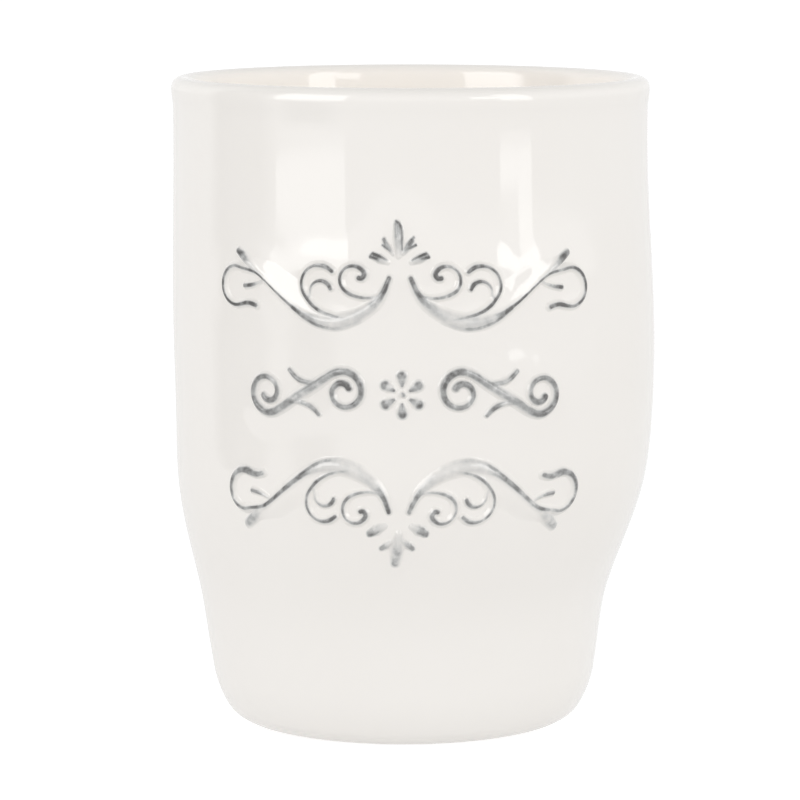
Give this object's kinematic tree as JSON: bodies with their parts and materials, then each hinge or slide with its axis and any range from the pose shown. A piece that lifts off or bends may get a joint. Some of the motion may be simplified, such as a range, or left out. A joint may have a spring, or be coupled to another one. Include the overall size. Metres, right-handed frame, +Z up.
{
  "type": "bathroom tumbler",
  "caption": "Round glazed ceramic tumbler with a rounded lip, tapered foot and moulded scroll and leaf ornament with grey-washed crests on its front.",
  "frame": {"origin": "centre of the foot, on the plane that the tumbler stands on", "axes": "+Z up along the tumbler's axis, -Y out of the decorated front, +X to the right of a viewer who faces that front"},
  "size_m": [0.0801, 0.0809, 0.107],
  "materials": {
    "white_glaze": "gloss",
    "washed_relief": "gloss, grey wash on the crests"
  },
  "bodies": {
    "root": {"tumbler_body": "white_glaze", "upper_left_scroll": "washed_relief", "upper_right_scroll": "washed_relief", "upper_palmette_crown": "washed_relief", "upper_palmette_left_leaf": "washed_relief", "upper_palmette_right_leaf": "washed_relief", "lower_left_scroll": "washed_relief", "lower_right_scroll": "washed_relief", "lower_palmette_crown": "washed_relief", "lower_palmette_left_leaf": "washed_relief", "lower_palmette_right_leaf": "washed_relief", "centre_rosette": "washed_relief", "centre_left_flourish": "washed_relief", "centre_right_flourish": "washed_relief"}
  },
  "joints": []
}
